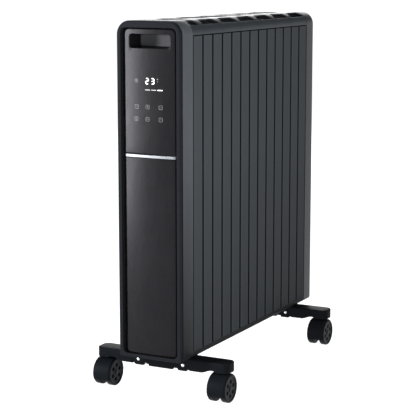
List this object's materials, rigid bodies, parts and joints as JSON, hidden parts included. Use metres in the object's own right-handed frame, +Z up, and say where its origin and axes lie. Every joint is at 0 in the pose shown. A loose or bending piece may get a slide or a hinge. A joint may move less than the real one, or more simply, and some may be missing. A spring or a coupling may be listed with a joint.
{
  "type": "oil filled radiator heater",
  "caption": "Free-standing oil filled radiator with flat-fronted fins, a glossy touch panel end, a vented top and folding twin-wheel caster feet.",
  "frame": {"origin": "on the floor, under the middle of the overall box", "axes": "+Z up; -Y is the control panel end; +X is the heater's right-hand side seen from the control panel"},
  "size_m": [0.2674, 0.5636, 0.66],
  "materials": {
    "satin_shell": "satin black moulded shell",
    "painted_fin": "satin powder coat over sheet steel",
    "gloss_panel": "high gloss black",
    "bright_strip": "bright silver strip",
    "foot_plastic": "matt black moulding",
    "wheel_plastic": "matt black nylon",
    "steel": "zinc plated",
    "board": "circuit board",
    "inner_black": "plain black moulding"
  },
  "bodies": {
    "root": {"front_bezel": "satin_shell", "control_panel": "gloss_panel", "accent_strip": "bright_strip", "lower_panel": "gloss_panel", "control_housing": "satin_shell", "grip_pocket": "inner_black", "back_plate": "inner_black", "display_board": "board", "power_board": "board", "tip_over_switch": "inner_black", "thermal_cutout": "inner_black", "heating_element": "steel", "cord_gland": "inner_black", "fin_01": "painted_fin", "fin_02": "painted_fin", "fin_03": "painted_fin", "fin_04": "painted_fin", "fin_05": "painted_fin", "fin_06": "painted_fin", "fin_07": "painted_fin", "fin_08": "painted_fin", "fin_09": "painted_fin", "fin_10": "painted_fin", "fin_11": "painted_fin", "fin_12": "painted_fin", "fin_13": "painted_fin", "bottom_rail_right": "painted_fin", "bottom_rail_left": "painted_fin", "top_cover": "satin_shell", "rear_cover": "satin_shell", "front_bracket": "foot_plastic", "rear_bracket": "foot_plastic", "front_right_pivot_pin": "steel", "front_left_pivot_pin": "steel", "rear_right_pivot_pin": "steel", "rear_left_pivot_pin": "steel"},
    "front_right_arm": {"front_right_arm": "foot_plastic"},
    "front_right_caster": {"front_right_caster_hood": "foot_plastic", "front_right_caster_stem": "steel"},
    "front_right_wheels": {"front_right_axle": "steel", "front_right_wheel_right": "wheel_plastic", "front_right_wheel_left": "wheel_plastic"},
    "front_left_arm": {"front_left_arm": "foot_plastic"},
    "front_left_caster": {"front_left_caster_hood": "foot_plastic", "front_left_caster_stem": "steel"},
    "front_left_wheels": {"front_left_axle": "steel", "front_left_wheel_right": "wheel_plastic", "front_left_wheel_left": "wheel_plastic"},
    "rear_right_arm": {"rear_right_arm": "foot_plastic"},
    "rear_right_caster": {"rear_right_caster_hood": "foot_plastic", "rear_right_caster_stem": "steel"},
    "rear_right_wheels": {"rear_right_axle": "steel", "rear_right_wheel_right": "wheel_plastic", "rear_right_wheel_left": "wheel_plastic"},
    "rear_left_arm": {"rear_left_arm": "foot_plastic"},
    "rear_left_caster": {"rear_left_caster_hood": "foot_plastic", "rear_left_caster_stem": "steel"},
    "rear_left_wheels": {"rear_left_axle": "steel", "rear_left_wheel_right": "wheel_plastic", "rear_left_wheel_left": "wheel_plastic"}
  },
  "joints": [
    {"name": "front_right_fold", "type": "hinge", "parent": "root", "child": "front_right_arm", "pos_m": [0.045, -0.2273, 0.059], "axis": [0, 1, 0], "range_deg": [0, 70]},
    {"name": "front_right_swivel", "type": "hinge", "parent": "front_right_arm", "child": "front_right_caster", "pos_m": [0.1156, -0.2273, 0.0521], "axis": [0, 0, 1], "continuous": true},
    {"name": "front_right_roll", "type": "hinge", "parent": "front_right_caster", "child": "front_right_wheels", "pos_m": [0.1156, -0.2323, 0.0245], "axis": [1, 0, 0], "continuous": true},
    {"name": "front_left_fold", "type": "hinge", "parent": "root", "child": "front_left_arm", "pos_m": [-0.045, -0.2273, 0.059], "axis": [0, -1, 0], "range_deg": [0, 70]},
    {"name": "front_left_swivel", "type": "hinge", "parent": "front_left_arm", "child": "front_left_caster", "pos_m": [-0.1156, -0.2273, 0.0521], "axis": [0, 0, 1], "continuous": true},
    {"name": "front_left_roll", "type": "hinge", "parent": "front_left_caster", "child": "front_left_wheels", "pos_m": [-0.1156, -0.2323, 0.0245], "axis": [1, 0, 0], "continuous": true},
    {"name": "rear_right_fold", "type": "hinge", "parent": "root", "child": "rear_right_arm", "pos_m": [0.045, 0.2097, 0.059], "axis": [0, 1, 0], "range_deg": [0, 70]},
    {"name": "rear_right_swivel", "type": "hinge", "parent": "rear_right_arm", "child": "rear_right_caster", "pos_m": [0.1156, 0.2097, 0.0521], "axis": [0, 0, 1], "continuous": true},
    {"name": "rear_right_roll", "type": "hinge", "parent": "rear_right_caster", "child": "rear_right_wheels", "pos_m": [0.1156, 0.2047, 0.0245], "axis": [1, 0, 0], "continuous": true},
    {"name": "rear_left_fold", "type": "hinge", "parent": "root", "child": "rear_left_arm", "pos_m": [-0.045, 0.2097, 0.059], "axis": [0, -1, 0], "range_deg": [0, 70]},
    {"name": "rear_left_swivel", "type": "hinge", "parent": "rear_left_arm", "child": "rear_left_caster", "pos_m": [-0.1156, 0.2097, 0.0521], "axis": [0, 0, 1], "continuous": true},
    {"name": "rear_left_roll", "type": "hinge", "parent": "rear_left_caster", "child": "rear_left_wheels", "pos_m": [-0.1156, 0.2047, 0.0245], "axis": [1, 0, 0], "continuous": true}
  ]
}
